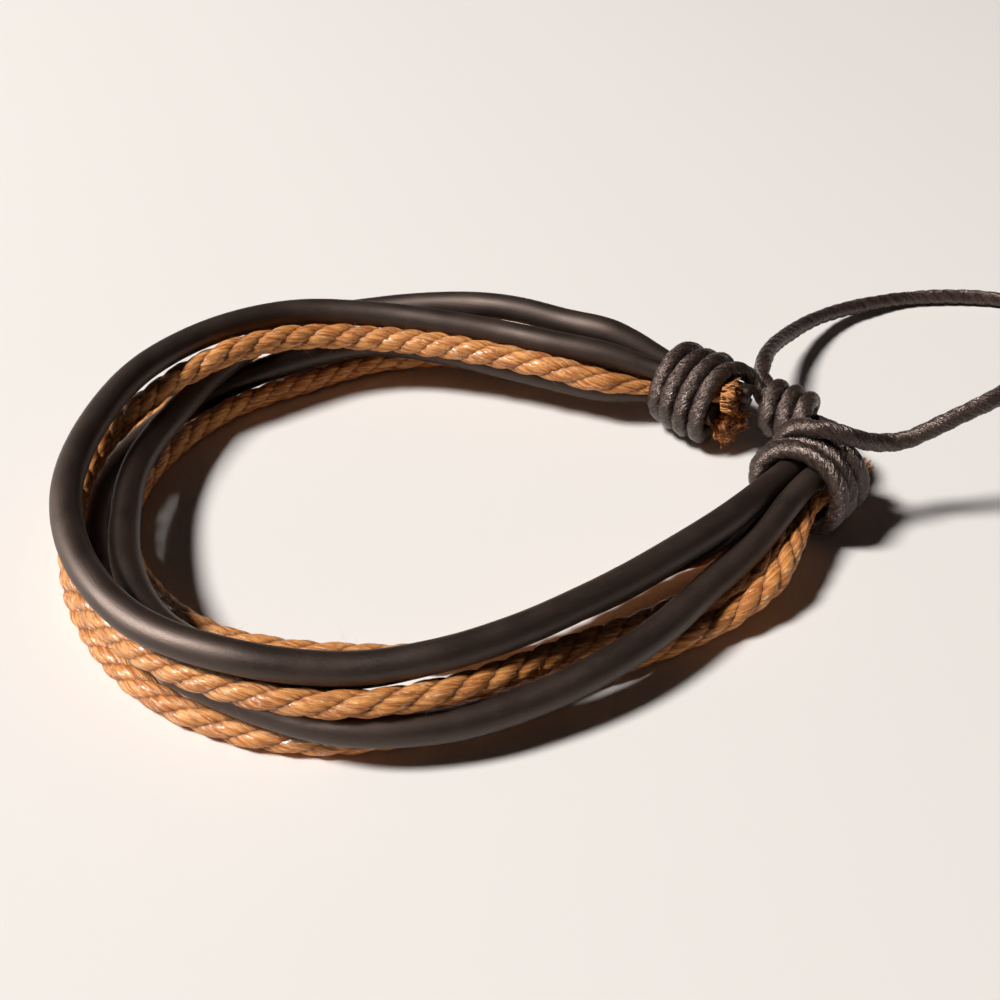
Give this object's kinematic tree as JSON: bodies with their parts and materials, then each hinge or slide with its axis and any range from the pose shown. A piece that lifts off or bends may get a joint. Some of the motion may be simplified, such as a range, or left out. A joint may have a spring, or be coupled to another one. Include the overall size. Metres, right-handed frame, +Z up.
{
  "type": "layered leather bracelet",
  "caption": "Bracelet of round leather cords and twisted ropes laid side by side, bound by coils of waxed cord and closed by a sliding knot on a pull loop.",
  "frame": {"origin": "on the surface that the bracelet lies on, under the middle of the band and its bindings, without the free pull loop", "axes": "+X along the band towards its bindings and the pull loop, +Y across the band towards its back, +Z up"},
  "size_m": [0.1179, 0.0766, 0.015],
  "materials": {
    "leather": "satin, very dark brown",
    "rope": "waxed tan fibre",
    "waxed_cord": "waxed, dark grey-brown"
  },
  "bodies": {
    "root": {"leather_cord_1": "leather", "leather_cord_2": "leather", "leather_cord_3": "leather", "rope_1": "rope", "rope_2": "rope", "rope_3": "rope", "binding_a": "waxed_cord", "binding_b": "waxed_cord", "slide_knot": "waxed_cord", "tie_cord": "waxed_cord", "pull_loop": "waxed_cord"}
  },
  "joints": []
}
